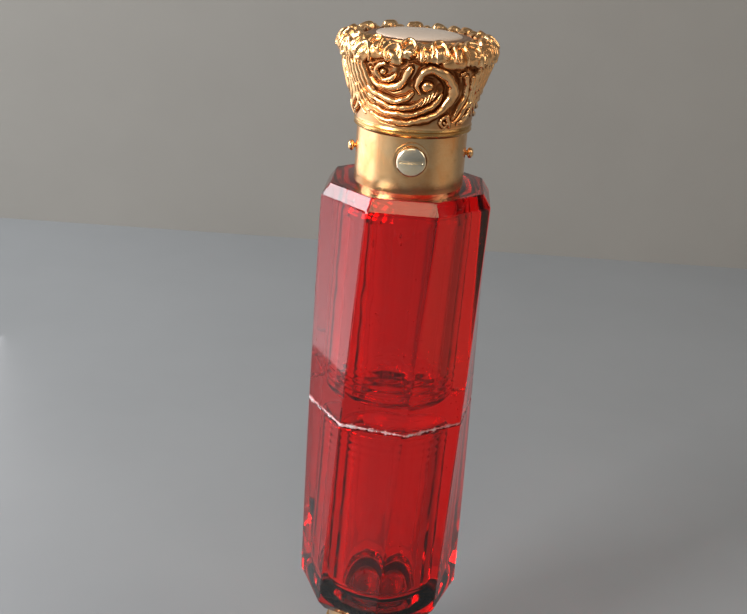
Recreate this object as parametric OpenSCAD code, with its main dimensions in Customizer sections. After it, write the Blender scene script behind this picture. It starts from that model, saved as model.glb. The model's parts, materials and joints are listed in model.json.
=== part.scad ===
// Double-ended scent bottle: a ruby glass body of eight twisted facets in two
// cemented halves, a hinged embossed cap with a push-button catch on top and
// an embossed screw cap below, on which the bottle stands.
// Units are millimetres. +Z is up and the origin is the centre of the foot.
// The push button faces -Y and the lid's hinge is on the +Y side.

/* [Glass body] */
// Width of the glass across two opposite facets
glass_af = 25; // [23:0.5:28]
// Length of the glass body, both halves, without the necks
glass_len = 73.2; // [60:0.1:90]
// Turn of the facets from the lower end to the upper end, in degrees
glass_twist = 21; // [0:1:30]
// Turn of the facets about Z at the upper end, in degrees
glass_turn_top = -2.7; // [-22:0.1:22]
// Width of the bevel around each end of the glass
bevel_w = 1.2; // [0.4:0.1:2]
// Height of the bevel around each end of the glass
bevel_h = 1.9; // [0.6:0.1:3]
// Diameter of the two compartments
cavity_d = 14.4; // [10:0.1:15]
// Solid glass left between each compartment and the cemented joint
floor_t = 1.7; // [1:0.1:4]
// Diameter of the mouth bore in both necks
mouth_d = 7.2; // [6.6:0.1:7.6]
// Depth of the small bevel that both halves have at the joint
joint_bevel = 0.35; // [0.1:0.05:0.6]

/* [Gilt mounts] */
// Outer diameter of the plain collars
collar_d = 16.4; // [16.2:0.1:17]
// Height of the plain collars
collar_h = 8.2; // [8:0.1:10]
// Wall of the plain collars
collar_t = 0.65; // [0.5:0.05:0.7]
// Largest diameter of the flared caps, without the lobes
cap_d = 22; // [20:0.5:26]
// Height of each cap from its seam to its rim bezel
cap_h = 13.35; // [12:0.05:16]
// Number of rocaille lobes around the rim of each cap
lobes = 10; // [6:1:12]
// Rise of the domed cabochon above its bezel
dome_h = 0.55; // [0.2:0.05:1]

/* [Moving parts] */
// Travel of the push button
button_travel = 0.5; // [0.2:0.05:0.5]
// Diameter of the push button
button_d = 4.2; // [3.4:0.1:4.6]
// Pitch of the screw cap's thread
thread_pitch = 1.5; // [1:0.1:2]
// Radius of the hinge pin
pin_r = 0.4; // [0.3:0.05:0.5]

/* [Hidden] */
$fn = 72;
foot_h = cap_h + 0.65;              // lower seam above the foot
z_g0 = foot_h + collar_h;           // lower end of the glass
z_g1 = z_g0 + glass_len;            // upper end of the glass
z_mid = (z_g0 + z_g1) / 2;          // cemented joint
z_seam = z_g1 + collar_h;           // upper seam
glass_r = glass_af / 2 / cos(22.5);
turn_bot = glass_turn_top - glass_twist;
glue = 0.2;
neck_r = 5;
bore_r = mouth_d / 2;
cav_r = cavity_d / 2;
col_r = collar_d / 2;
col_i = col_r - collar_t;
flare = cap_d / 2 - col_r;
ks = cap_h / 13.35;
pin_y = col_r + 1.15;
btn_z = z_g1 + 5;
lid_gap = 0.15;
gold = [0.86, 0.66, 0.30];
gold_dark = [0.70, 0.47, 0.17];
steel = [0.62, 0.60, 0.56];
ruby = [0.66, 0.03, 0.05, 0.75];
cork = [0.66, 0.47, 0.28];
lime = [0.86, 0.83, 0.76];

// turn of the facets at height z
function turn_at(z) = turn_bot + glass_twist * (z - z_g0) / glass_len;
// r and s on a cap's outside, s counted from the seam
function cr(f) = col_r + f * flare;

// eight-sided body through rings [z, r, turn]
module ring_body(rings) {
  n = len(rings);
  pts = [for (q = rings) for (k = [0:7]) [q[1] * cos(22.5 + 45 * k + q[2]), q[1] * sin(22.5 + 45 * k + q[2]), q[0]]];
  sides = [for (i = [0:n - 2]) for (k = [0:7]) for (t = [0:1])
    let (k1 = (k + 1) % 8, a = i * 8, b = (i + 1) * 8)
    t == 0 ? [a + k, b + k, b + k1] : [a + k, b + k1, a + k1]];
  polyhedron(points = pts, convexity = 4,
    faces = concat([[0, 1, 2, 3, 4, 5, 6, 7]], [[for (k = [7:-1:0]) (n - 1) * 8 + k]], sides));
}

// ring with a square section, radii a and b, from z0 to z1
module tube(a, b, z0, z1) {
  difference() {
    translate([0, 0, z0]) cylinder(r = b, h = z1 - z0);
    translate([0, 0, z0 - 1]) cylinder(r = a, h = z1 - z0 + 2);
  }
}

// compartment with a rounded floor, a shoulder and a mouth bore
module cavity(zf, zs, zt) {
  rotate_extrude() polygon([[0, zf], [cav_r - 1.6, zf], [cav_r - 0.5, zf + 0.5], [cav_r, zf + 1.6],
    [cav_r, zs - 3.2], [cav_r - 0.6, zs - 1.7], [cav_r - 2, zs - 0.6], [bore_r, zs], [bore_r, zt], [0, zt]]);
}

// upper half of the glass with its neck
module glass_upper() color(ruby) {
  z0 = z_mid + glue / 2;
  n = 6;
  difference() {
    union() {
      ring_body(concat([[z0, glass_r - joint_bevel, turn_at(z0)]],
        [for (i = [0:n]) let (z = z0 + joint_bevel + (z_g1 - bevel_h - z0 - joint_bevel) * i / n) [z, glass_r, turn_at(z)]],
        [[z_g1, glass_r - bevel_w / cos(22.5), turn_at(z_g1)]]));
      translate([0, 0, z_g1 - 1]) cylinder(r = neck_r, h = 7);
    }
    cavity(z0 + floor_t, z_g1 - 1.2, z_g1 + 7);
  }
}

// lower half of the glass with its neck
module glass_lower() color(ruby) {
  z1 = z_mid - glue / 2;
  n = 6;
  difference() {
    union() {
      ring_body(concat([[z_g0, glass_r - bevel_w / cos(22.5), turn_at(z_g0)]],
        [for (i = [0:n]) let (z = z_g0 + bevel_h + (z1 - joint_bevel - z_g0 - bevel_h) * i / n) [z, glass_r, turn_at(z)]],
        [[z1, glass_r - joint_bevel, turn_at(z1)]]));
      translate([0, 0, z_g0 - 7.6]) cylinder(r = neck_r, h = 8.6);
    }
    translate([0, 0, z_g0]) mirror([0, 0, 1]) cavity(z_g0 - z1 + floor_t, -1.2, 8.6);
  }
}

// cement film between the two halves
module joint_cement() color([0.9, 0.62, 0.62])
  translate([0, 0, z_mid - glue / 2]) rotate([0, 0, turn_at(z_mid) + 22.5])
    cylinder(r = glass_r - joint_bevel - 0.15, h = glue, $fn = 8);

// cement around the upper neck
module upper_neck_cement() color(lime) tube(neck_r + 0.02, 6.4, z_g1 + 0.52, z_g1 + 2.6);

// cement between the lower neck and the threaded sleeve
module lower_neck_cement() color(lime) tube(neck_r + 0.02, 5.43, z_g0 - 7.2, z_g0 - 0.5);

// plain collar on the upper neck, drilled for the button and the two rivets
module upper_collar() color(gold)
  difference() {
    union() {
      tube(col_i, col_r, z_g1, z_seam);
      tube(neck_r + 0.1, col_r, z_g1, z_g1 + 0.5);
    }
    translate([0, -col_r + 2, btn_z]) rotate([90, 0, 0]) cylinder(r = 0.8, h = 4);
    for (s = [-1, 1]) translate([s * (col_r - 2), 0, btn_z - 0.2]) rotate([0, s * 90, 0]) cylinder(r = 0.4, h = 4);
  }

// gilt ring over the lip of the upper mouth
module mouth_ring() color(gold) tube(bore_r, 5.2, z_g1 + 6, z_g1 + 6.8);

// curved spring strip inside the collar, pierced for the button's stem
module latch_spring() color(steel)
  difference() {
    rotate([0, 0, -190]) rotate_extrude(angle = 200) translate([col_i - 0.4, btn_z - 1.1]) square([0.3, 2.2]);
    translate([0, -col_r + 2, btn_z]) rotate([90, 0, 0]) cylinder(r = 0.9, h = 4);
    for (s = [-1, 1]) translate([s * (col_r - 2), 0, btn_z - 0.2]) rotate([0, s * 90, 0]) cylinder(r = 0.4, h = 4);
  }

// two round-headed rivets that hold the ends of the spring
module spring_rivets() color(gold)
  for (s = [-1, 1]) translate([0, 0, btn_z - 0.2]) {
    translate([s * (col_r + 0.75), 0, 0]) sphere(r = 0.8);
    translate([s * (col_i - 0.5), 0, 0]) rotate([0, s * 90, 0]) cylinder(r = 0.35, h = collar_t + 1.1);
  }

// raised ring around the push button
module button_bezel() color(gold)
  difference() {
    translate([0, 0, btn_z]) rotate([90, 0, 0]) cylinder(r = button_d / 2 + 0.5, h = col_r + 0.4);
    translate([0, 0, btn_z]) rotate([90, 0, 0]) cylinder(r = button_d / 2 + 0.15, h = col_r + 2);
    translate([0, 0, btn_z - 5]) cylinder(r = col_r, h = 10);
  }

// domed push button with its stem
module push_button() color(gold) {
  rb = button_d / 2;
  rs = (rb * rb + 0.25) / 1;
  intersection() {
    translate([0, -col_r - button_travel - 0.1, btn_z]) rotate([90, 0, 0]) cylinder(r = rb, h = 1.2);
    translate([0, -col_r - button_travel - 1.05 + rs, btn_z]) sphere(r = rs);
  }
  translate([0, -col_r + 1.25, btn_z]) rotate([90, 0, 0]) cylinder(r = 0.65, h = 2);
}

// catch plate on the inner end of the button's stem, with its nose
module latch_hook() color(steel) {
  translate([-1.3, -col_r + 1.25, btn_z - 1.1]) cube([2.6, 0.5, 2.1]);
  translate([-0.8, -col_r + 1.5, btn_z + 0.4]) cube([1.6, 0.75, 0.6]);
}

// hinge leaf on the collar with the two outer knuckles
module hinge_leaf_lower() color(gold)
  difference() {
    union() {
      rotate([0, 0, 66]) rotate_extrude(angle = 48) translate([col_r, z_seam - 3.8]) square([0.4, 2.9]);
      for (s = [-1, 1]) translate([s * 2.3 - 1.1, 0, 0]) {
        translate([0, pin_y, z_seam]) rotate([0, 90, 0]) cylinder(r = 0.95, h = 2.2);
        translate([0, pin_y - 1.0, z_seam - 1.5]) cube([2.2, 1.0, 1.3]);
      }
    }
    translate([-5, pin_y, z_seam]) rotate([0, 90, 0]) cylinder(r = pin_r + 0.05, h = 10);
    translate([0, 0, z_seam - 6]) cylinder(r = col_r, h = 8);
  }

// hinge leaf on the lid with the middle knuckle
module hinge_leaf_upper() color(gold)
  difference() {
    union() {
      rotate([0, 0, 72]) rotate_extrude(angle = 36) translate([cr(0.3), z_seam + 1.4]) square([0.4, 2.6]);
      translate([-1.05, pin_y, z_seam]) rotate([0, 90, 0]) cylinder(r = 0.95, h = 2.1);
      translate([-1.05, cr(0.3), z_seam + 0.3]) cube([2.1, 0.42, 2.2]);
    }
    translate([-5, pin_y, z_seam]) rotate([0, 90, 0]) cylinder(r = pin_r + 0.05, h = 10);
  }

// hinge pin with two small heads
module hinge_pin() color(steel) {
  translate([-3.4, pin_y, z_seam]) rotate([0, 90, 0]) cylinder(r = pin_r, h = 6.8);
  for (s = [-1, 1]) translate([s * 3.55 - 0.15, pin_y, z_seam]) rotate([0, 90, 0]) cylinder(r = 0.62, h = 0.3);
}

// outside of a cap, as a solid turned about Z, s counted from the seam
module cap_outer()
  rotate_extrude() polygon([[0, 1.3], [cr(0.2), 1.3], [cr(0.25), 2.2 * ks], [cr(0.3), 3.4 * ks], [cr(0.375), 5 * ks],
    [cr(0.54), 6.8 * ks], [cr(0.75), 8.4 * ks], [cr(0.95), 9.7 * ks], [cr(1), 10.8 * ks], [cr(0.89), 11.6 * ks],
    [cr(0.61), 12.2 * ks], [cr(0.14), 12.6 * ks], [7, 12.8 * ks], [0, 12.8 * ks]]);

// hollow of a cap's shell
module cap_inner()
  rotate_extrude() polygon([[0, 1], [cr(-0.03), 1], [cr(0), 2.2 * ks], [cr(0.06), 3.4 * ks], [cr(0.13), 5 * ks],
    [cr(0.29), 7 * ks], [cr(0.5), 8.7 * ks], [cr(0.7), 9.9 * ks], [cr(0.68), 10.8 * ks],
    [cr(0.5), 11.4 * ks], [cr(0.07), 11.9 * ks], [7, 12.1 * ks], [7, 14 * ks], [0, 14 * ks]]);

// one embossed C-scroll with a round eye, laid on the cap's side
module scroll(az, s, f, big, small, flip) {
  rotate([0, 0, az]) translate([cr(f) - 0.16, 0, s * ks]) rotate([0, 90 + 14, 0]) {
    rotate([0, 0, flip]) rotate_extrude(angle = 255) translate([big, 0]) circle(r = 0.5, $fn = 24);
    translate([0, 0, 0.05]) rotate([0, 0, flip + 120]) rotate_extrude(angle = 230) translate([small, 0]) circle(r = 0.4, $fn = 24);
    sphere(r = 0.6, $fn = 32);
  }
}

// embossed shell of a cap
module cap_form() difference() {
  union() {
    cap_outer();
    for (i = [0:lobes - 1]) rotate([0, 0, 360 / lobes * (i + 0.5)]) translate([cap_d / 2 - 1.15, 0, 10.9 * ks]) sphere(r = 1.5, $fn = 40);
    for (a = [-72, 12, 168, -156]) scroll(a, 7.2, 0.58, 2.3, 1.2, 40);
    for (a = [-114, -30, 60, 120]) scroll(a, 4.6, 0.36, 1.5, 0.8, 210);
  }
  cap_inner();
}

// embossed shell of the lid
module cap_shell() color(gold)
  difference() {
    translate([0, 0, z_seam]) cap_form();
    translate([-4.1, pin_y, z_seam]) rotate([0, 90, 0]) cylinder(r = 1.25, h = 8.2);
    translate([0, 0, z_seam]) rotate([0, 0, 70]) rotate_extrude(angle = 40) translate([cr(0.3) - 0.03, 1.2]) square([3, 3]);
  }

// reeded ring at the seam of a cap
module seam_ring_form()
  rotate_extrude() polygon([[7.6, lid_gap], [col_r + 0.3, lid_gap], [col_r + 0.5, 0.4], [col_r + 0.3, 0.62],
    [col_r + 0.3, 0.78], [col_r + 0.5, 1.0], [col_r + 0.4, 1.3], [7.6, 1.3]]);

// reeded ring of the lid, cut clear of the hinge
module cap_rim_ring() color(gold_dark)
  difference() {
    translate([0, 0, z_seam]) seam_ring_form();
    translate([-4.1, pin_y, z_seam]) rotate([0, 90, 0]) cylinder(r = 1.25, h = 8.2);
  }

// liner of the lid: spigot that enters the collar, flange and ledge
module cap_liner() color(gold)
  translate([0, 0, z_seam]) rotate_extrude()
    polygon([[5.9, -2], [6.6, -2], [6.6, 1.3], [cr(-0.04), 1.3], [cr(-0.04), 1.8], [6.6, 1.8], [6.6, 2.6],
      [4.4, 2.6], [4.4, 1.4], [5.9, 1.4]]);

// plate that carries the lid's cork
module seal_plate() color(steel) translate([0, 0, z_seam + 0.8]) cylinder(r = 5.8, h = 0.6);

// cork pad that closes the upper mouth
module seal_cork() color(cork) translate([0, 0, z_seam - 1.33]) cylinder(r = 4.7, h = 2.13);

// cup-shaped bezel that holds the cabochon
module top_bezel() color(gold_dark)
  translate([0, 0, z_seam]) rotate_extrude()
    polygon([[0, 12.15 * ks], [6.98, 12.15 * ks], [6.98, 12.8 * ks], [7.6, 12.8 * ks], [7.45, 13.2 * ks], [6.9, 13.35 * ks],
      [6.3, 13.25 * ks], [6.3, 12.55 * ks], [0, 12.55 * ks]]);

// domed cabochon in the top of the lid
module top_disc() color([0.80, 0.75, 0.68])
  translate([0, 0, z_seam + 12.55 * ks]) rotate_extrude()
    polygon(concat([[0, 0], [6.25, 0]],
      [for (i = [0:8]) let (a = 90 * i / 8) [6.25 * cos(a), 0.75 * ks + (dome_h + 0.05) * sin(a) + 0.001 * i]]));

// plain collar on the lower neck
module lower_collar() color(gold) {
  tube(col_i, col_r, foot_h, z_g0);
  tube(6.5, col_r, z_g0 - 0.5, z_g0);
}

// sleeve with the outside thread, shown as rings one pitch apart, and its lip
module thread_sleeve() color(gold)
  translate([0, 0, foot_h]) rotate_extrude()
    polygon(concat([[bore_r, 0.6], [bore_r, -0.1], [6.2, -0.1]],
      [for (i = [0:floor(7.5 / thread_pitch) - 1]) for (q = [[6.25, 0.1], [6.5, 0.3], [6.5, 0.67], [6.25, 0.87]])
        [q[0], 0.1 + (q[1] + i) * thread_pitch]],
      [[6.5, 7.8], [6.5, collar_h], [5.45, collar_h], [5.45, 0.6]]));

// embossed shell of the screw cap
module screw_cap_shell() color(gold) translate([0, 0, foot_h]) mirror([0, 0, 1]) cap_form();

// reeded ring of the screw cap
module screw_cap_ring() color(gold_dark) translate([0, 0, foot_h]) mirror([0, 0, 1]) seam_ring_form();

// inside liner of the screw cap, with the bridge that carries the seal's swivel
module screw_cap_liner() color(gold)
  translate([0, 0, foot_h]) mirror([0, 0, 1]) rotate_extrude()
    polygon([[6.6, -4.4], [7.25, -4.4], [7.25, 1.3], [cr(-0.04), 1.3], [cr(-0.04), 1.8], [7.25, 1.8], [7.25, 3.9],
      [0.86, 3.9], [0.86, 3.2], [6.6, 3.2]]);

// foot ring and floor of the screw cap
module foot_bezel() color(gold_dark)
  translate([0, 0, foot_h]) mirror([0, 0, 1]) rotate_extrude()
    polygon([[0, 12.15 * ks], [6.98, 12.15 * ks], [6.98, 12.8 * ks], [7.7, 12.8 * ks], [7.7, foot_h - 0.25], [7.45, foot_h],
      [6.3, foot_h], [6.3, 12.55 * ks], [0, 12.55 * ks]]);

// flat plate set into the foot
module foot_disc() color([0.80, 0.75, 0.68])
  translate([0, 0, foot_h - 12.55 * ks - 0.8]) cylinder(r = 6.25, h = 0.8);

// cork washer that closes the lower mouth
module screw_seal_cork() color(cork) translate([0, 0, foot_h - 2.2]) cylinder(r = 5.6, h = 2.05);

// plate and swivel rivet that carry the lower cork
module screw_seal_plate() color(steel) {
  translate([0, 0, foot_h - 2.8]) cylinder(r = 5.6, h = 0.6);
  translate([0, 0, foot_h - 4.9]) cylinder(r = 0.8, h = 2.2);
  translate([0, 0, foot_h - 4.9]) cylinder(r = 1.5, h = 0.6);
}

glass_upper();
glass_lower();
joint_cement();
upper_neck_cement();
lower_neck_cement();
upper_collar();
mouth_ring();
latch_spring();
spring_rivets();
button_bezel();
push_button();
latch_hook();
hinge_leaf_lower();
hinge_leaf_upper();
hinge_pin();
cap_shell();
cap_rim_ring();
cap_liner();
seal_plate();
seal_cork();
top_bezel();
top_disc();
lower_collar();
thread_sleeve();
screw_cap_shell();
screw_cap_ring();
screw_cap_liner();
foot_bezel();
foot_disc();
screw_seal_cork();
screw_seal_plate();
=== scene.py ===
import bpy, bmesh, math, json, random
import numpy as np
from mathutils import Vector, Matrix


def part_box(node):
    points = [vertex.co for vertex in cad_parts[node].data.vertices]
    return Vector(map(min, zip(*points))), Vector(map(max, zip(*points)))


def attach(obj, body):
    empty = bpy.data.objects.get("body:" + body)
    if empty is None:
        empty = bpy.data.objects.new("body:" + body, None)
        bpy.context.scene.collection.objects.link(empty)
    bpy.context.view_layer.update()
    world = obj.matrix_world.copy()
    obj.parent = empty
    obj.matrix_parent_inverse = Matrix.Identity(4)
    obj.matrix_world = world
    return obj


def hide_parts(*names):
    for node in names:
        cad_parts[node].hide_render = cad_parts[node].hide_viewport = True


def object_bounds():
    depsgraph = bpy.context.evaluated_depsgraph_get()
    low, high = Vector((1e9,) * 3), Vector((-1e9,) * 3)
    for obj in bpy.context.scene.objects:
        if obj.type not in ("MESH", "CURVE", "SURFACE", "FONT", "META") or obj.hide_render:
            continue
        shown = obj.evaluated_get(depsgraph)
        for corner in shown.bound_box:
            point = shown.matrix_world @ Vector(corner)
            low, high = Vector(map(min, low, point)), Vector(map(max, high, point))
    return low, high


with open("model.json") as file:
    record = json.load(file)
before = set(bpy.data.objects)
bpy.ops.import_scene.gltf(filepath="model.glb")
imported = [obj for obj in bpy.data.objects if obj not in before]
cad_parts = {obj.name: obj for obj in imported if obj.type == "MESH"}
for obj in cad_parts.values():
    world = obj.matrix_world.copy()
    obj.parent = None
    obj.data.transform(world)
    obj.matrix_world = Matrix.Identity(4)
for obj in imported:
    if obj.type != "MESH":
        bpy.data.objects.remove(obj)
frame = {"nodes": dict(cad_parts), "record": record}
cad_lo, cad_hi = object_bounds()
cad_lo, cad_hi = [float(v) for v in cad_lo], [float(v) for v in cad_hi]
scene = bpy.context.scene
nodes = frame["nodes"]
MM = 0.001

# ---------------------------------------------------------------- places from the frame
def zlo(n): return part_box(n)[0][2]
def zhi(n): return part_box(n)[1][2]
Z_SEAM = zhi("upper_collar")
Z_G1 = zlo("upper_collar")
Z_G0 = zhi("lower_collar")
Z_FOOT = zlo("lower_collar")
Z_MID = (Z_G0 + Z_G1) / 2
COL_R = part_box("upper_collar")[1][0]
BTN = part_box("push_button")
BTN_Z = (BTN[0][2] + BTN[1][2]) / 2

# ---------------------------------------------------------------- camera
def make_camera():
    cam = bpy.data.objects.new("Camera", bpy.data.cameras.new("Camera"))
    scene.collection.objects.link(cam)
    el, dist, roll = math.radians(22.103), 0.165834, math.radians(3.925)
    target = Vector((-0.003908, 0, Z_G1 - 0.021039))
    back = Vector((0, -math.cos(el), math.sin(el)))
    right = Vector((1, 0, 0))
    up = right.cross(-back).normalized()
    x = right * math.cos(roll) + up * math.sin(roll)
    y = -right * math.sin(roll) + up * math.cos(roll)
    m = Matrix((x, y, back)).transposed().to_4x4()
    m.translation = target + back * dist
    cam.matrix_world = m
    cam.data.sensor_width = 36
    cam.data.lens = 1046.717 / 747 * 36
    cam.data.clip_start = 0.01
    cam.data.clip_end = 20
    scene.camera = cam
make_camera()

# ---------------------------------------------------------------- node helpers
def new_mat(name):
    m = bpy.data.materials.new(name)
    m.use_nodes = True
    nt = m.node_tree
    return m, nt, nt.nodes["Principled BSDF"], nt.nodes["Material Output"]

def nd(nt, kind, **kw):
    n = nt.nodes.new(kind)
    for k, v in kw.items():
        if k in n.inputs.keys():
            n.inputs[k].default_value = v
        else:
            setattr(n, k, v)
    return n

def noise(nt, vec, scale, detail=4, rough=0.55, dist=0.0):
    n = nd(nt, "ShaderNodeTexNoise")
    n.inputs["Scale"].default_value = scale
    n.inputs["Detail"].default_value = detail
    n.inputs["Roughness"].default_value = rough
    n.inputs["Distortion"].default_value = dist
    nt.links.new(vec, n.inputs["Vector"])
    return n.outputs[0]

def ramp(nt, fac, stops, mode="LINEAR"):
    r = nd(nt, "ShaderNodeValToRGB")
    r.color_ramp.interpolation = mode
    e = r.color_ramp.elements
    while len(e) < len(stops):
        e.new(0.5)
    for i, (p, c) in enumerate(stops):
        e[i].position = p
        e[i].color = (*c, 1) if len(c) == 3 else c
    nt.links.new(fac, r.inputs[0])
    return r.outputs[0]

def mixc(nt, fac, a, b, mode="MIX"):
    m = nd(nt, "ShaderNodeMix", data_type="RGBA", blend_type=mode)
    for s, v in ((m.inputs[0], fac), (m.inputs[6], a), (m.inputs[7], b)):
        if isinstance(v, (int, float)):
            s.default_value = v
        elif isinstance(v, tuple):
            s.default_value = (*v, 1) if len(v) == 3 else v
        else:
            nt.links.new(v, s)
    return m.outputs[2]

def math_(nt, op, a, b=0.0, clamp=False):
    m = nd(nt, "ShaderNodeMath", operation=op)
    m.use_clamp = clamp
    for s, v in ((m.inputs[0], a), (m.inputs[1], b)):
        if isinstance(v, (int, float)):
            s.default_value = v
        else:
            nt.links.new(v, s)
    return m.outputs[0]

def bump(nt, height, strength, dist, normal=None):
    b = nd(nt, "ShaderNodeBump")
    b.inputs["Strength"].default_value = strength
    b.inputs["Distance"].default_value = dist
    nt.links.new(height, b.inputs["Height"])
    if normal is not None:
        nt.links.new(normal, b.inputs["Normal"])
    return b.outputs[0]

def objc(nt):
    return nd(nt, "ShaderNodeTexCoord").outputs["Object"]

def mapped(nt, vec, scale):
    m = nd(nt, "ShaderNodeMapping")
    m.inputs["Scale"].default_value = scale
    nt.links.new(vec, m.inputs["Vector"])
    return m.outputs[0]

# ---------------------------------------------------------------- materials
def mat_ruby():
    m, nt, p, out = new_mat("ruby_glass")
    p.inputs["Base Color"].default_value = (1, 1, 1, 1)
    p.inputs["Transmission Weight"].default_value = 1.0
    p.inputs["Roughness"].default_value = 0.045
    p.inputs["IOR"].default_value = 1.52
    v = objc(nt)
    wave = noise(nt, mapped(nt, v, (1, 1, 0.35)), 420, 2, 0.5)
    fine = noise(nt, mapped(nt, v, (1, 1, 0.12)), 5200, 3, 0.6)
    scr = ramp(nt, noise(nt, mapped(nt, v, (0.5, 0.5, 3.0)), 1500, 5, 0.7, 1.5), [(0.60, (0, 0, 0)), (0.66, (1, 1, 1))])
    h = math_(nt, "ADD", math_(nt, "MULTIPLY", wave, 1.0), math_(nt, "MULTIPLY", fine, 0.04))
    h = math_(nt, "ADD", h, math_(nt, "MULTIPLY", scr, 0.05))
    n = bump(nt, h, 0.25, 0.00006)
    nt.links.new(n, p.inputs["Normal"])
    va = nd(nt, "ShaderNodeVolumeAbsorption")
    va.inputs["Color"].default_value = (0.9965, 0.09, 0.10, 1)
    va.inputs["Density"].default_value = 780
    nt.links.new(va.outputs[0], out.inputs["Volume"])
    return m

def mat_gilt(name, light, deep, dark, rough=0.2, brushed=0.0, relief=False):
    m, nt, p, out = new_mat(name)
    v = objc(nt)
    patch = noise(nt, v, 260, 5, 0.6, 0.4)
    blot = noise(nt, v, 900, 4, 0.65)
    col = mixc(nt, ramp(nt, patch, [(0.36, (0, 0, 0)), (0.66, (1, 1, 1))]), light, deep)
    spots = ramp(nt, blot, [(0.58, (0, 0, 0)), (0.72, (1, 1, 1))])
    col = mixc(nt, math_(nt, "MULTIPLY", spots, 0.35), col, dark)
    r = math_(nt, "ADD", math_(nt, "MULTIPLY", patch, 0.16), rough - 0.05)
    if relief:
        # painted shade mixed with real tarnish: this mask darkens the troughs and the low skin between the ridges
        # towards the dark colour
        at = nd(nt, "ShaderNodeAttribute", attribute_name="hollow")
        hol = at.outputs["Fac"]
        col = mixc(nt, ramp(nt, hol, [(0.12, (0, 0, 0)), (0.62, (0.95, 0.95, 0.95))]), col, dark)
        r = math_(nt, "ADD", r, math_(nt, "MULTIPLY", hol, 0.22))
    nt.links.new(col, p.inputs["Base Color"])
    nt.links.new(r, p.inputs["Roughness"])
    p.inputs["Metallic"].default_value = 1.0
    fine = noise(nt, mapped(nt, v, (1, 1, 9) if brushed else (1, 1, 1)), 4200, 3, 0.6)
    peen = noise(nt, v, 1300, 3, 0.55)
    h = math_(nt, "ADD", math_(nt, "MULTIPLY", fine, 0.25 + brushed), math_(nt, "MULTIPLY", peen, 0.6 if relief else 0.25))
    nt.links.new(bump(nt, h, 0.5, 0.00005), p.inputs["Normal"])
    return m

GOLD_L, GOLD_D, GOLD_K = (1.0, 0.66, 0.34), (0.97, 0.49, 0.19), (0.25, 0.08, 0.022)
RUBY = mat_ruby()
GILT = mat_gilt("gilt_plain", GOLD_L, GOLD_D, (0.45, 0.24, 0.07), 0.17, 0.25)
GILT_R = mat_gilt("gilt_embossed", GOLD_L, GOLD_D, GOLD_K, 0.2, 0.0, True)
GILT_K = mat_gilt("gilt_dark", (0.80, 0.52, 0.22), (0.60, 0.32, 0.10), GOLD_K, 0.22, 0.1)
STEEL = mat_gilt("steel_dull", (0.62, 0.60, 0.55), (0.48, 0.44, 0.38), (0.22, 0.16, 0.10), 0.34, 0.4)

def mat_cabochon():
    m, nt, p, out = new_mat("cabochon")
    v = objc(nt)
    cloud = noise(nt, v, 180, 5, 0.55, 0.6)
    col = mixc(nt, ramp(nt, cloud, [(0.35, (0, 0, 0)), (0.7, (1, 1, 1))]), (0.86, 0.69, 0.55), (0.95, 0.80, 0.66))
    spec = ramp(nt, noise(nt, v, 2600, 3, 0.6), [(0.62, (0, 0, 0)), (0.72, (1, 1, 1))])
    col = mixc(nt, math_(nt, "MULTIPLY", spec, 0.25), col, (0.42, 0.30, 0.22))
    nt.links.new(col, p.inputs["Base Color"])
    p.inputs["Metallic"].default_value = 0.25
    r = math_(nt, "ADD", math_(nt, "MULTIPLY", cloud, 0.15), 0.12)
    nt.links.new(r, p.inputs["Roughness"])
    p.inputs["Coat Weight"].default_value = 0.4
    nt.links.new(bump(nt, noise(nt, v, 900, 4, 0.6), 0.3, 0.00003), p.inputs["Normal"])
    return m

def mat_cork():
    m, nt, p, out = new_mat("cork")
    v = objc(nt)
    vo = nd(nt, "ShaderNodeTexVoronoi", feature="F1")
    vo.inputs["Scale"].default_value = 1600
    nt.links.new(v, vo.inputs["Vector"])
    gr = noise(nt, v, 700, 5, 0.65)
    col = mixc(nt, ramp(nt, gr, [(0.4, (0, 0, 0)), (0.62, (1, 1, 1))]), (0.52, 0.32, 0.15), (0.68, 0.48, 0.27))
    col = mixc(nt, ramp(nt, vo.outputs["Distance"], [(0.0, (0.8, 0.8, 0.8)), (0.35, (0, 0, 0))]), col, (0.22, 0.11, 0.05))
    nt.links.new(col, p.inputs["Base Color"])
    p.inputs["Roughness"].default_value = 0.88
    nt.links.new(bump(nt, math_(nt, "ADD", gr, vo.outputs["Distance"]), 0.6, 0.00012), p.inputs["Normal"])
    return m

def mat_lime():
    m, nt, p, out = new_mat("lime_cement")
    v = objc(nt)
    g = noise(nt, v, 1500, 6, 0.7)
    nt.links.new(ramp(nt, g, [(0.3, (0.56, 0.52, 0.44)), (0.7, (0.80, 0.77, 0.69))]), p.inputs["Base Color"])
    p.inputs["Roughness"].default_value = 0.9
    nt.links.new(bump(nt, g, 0.7, 0.0001), p.inputs["Normal"])
    return m

def mat_glue():
    m, nt, p, out = new_mat("cement_painted_highlight")
    v = objc(nt)
    g = noise(nt, v, 1900, 5, 0.7)
    # the pink-to-white colour of the cement bead is a painted highlight for the bright ring at the joint
    nt.links.new(ramp(nt, g, [(0.34, (0.85, 0.24, 0.26)), (0.5, (0.97, 0.62, 0.64)), (0.62, (1.0, 0.95, 0.96))]), p.inputs["Base Color"])
    p.inputs["Roughness"].default_value = 0.12
    p.inputs["Emission Strength"].default_value = 0.0
    nt.links.new(bump(nt, g, 0.9, 0.0002), p.inputs["Normal"])
    return m

CABO, CORK, LIME, GLUE = mat_cabochon(), mat_cork(), mat_lime(), mat_glue()

SLOT_MAT = {"ruby_glass": RUBY, "gilt": GILT, "gilt_dark": GILT_K, "steel": STEEL, "cork": CORK,
            "lime_cement": LIME, "cabochon": CABO, "foot_plate": GILT, "clear_cement": GLUE}
for s in frame["record"]["subparts"]:
    ob = nodes[s["node"]]
    ob.data.materials.clear()
    ob.data.materials.append(SLOT_MAT[s["material_slot"]])

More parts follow.
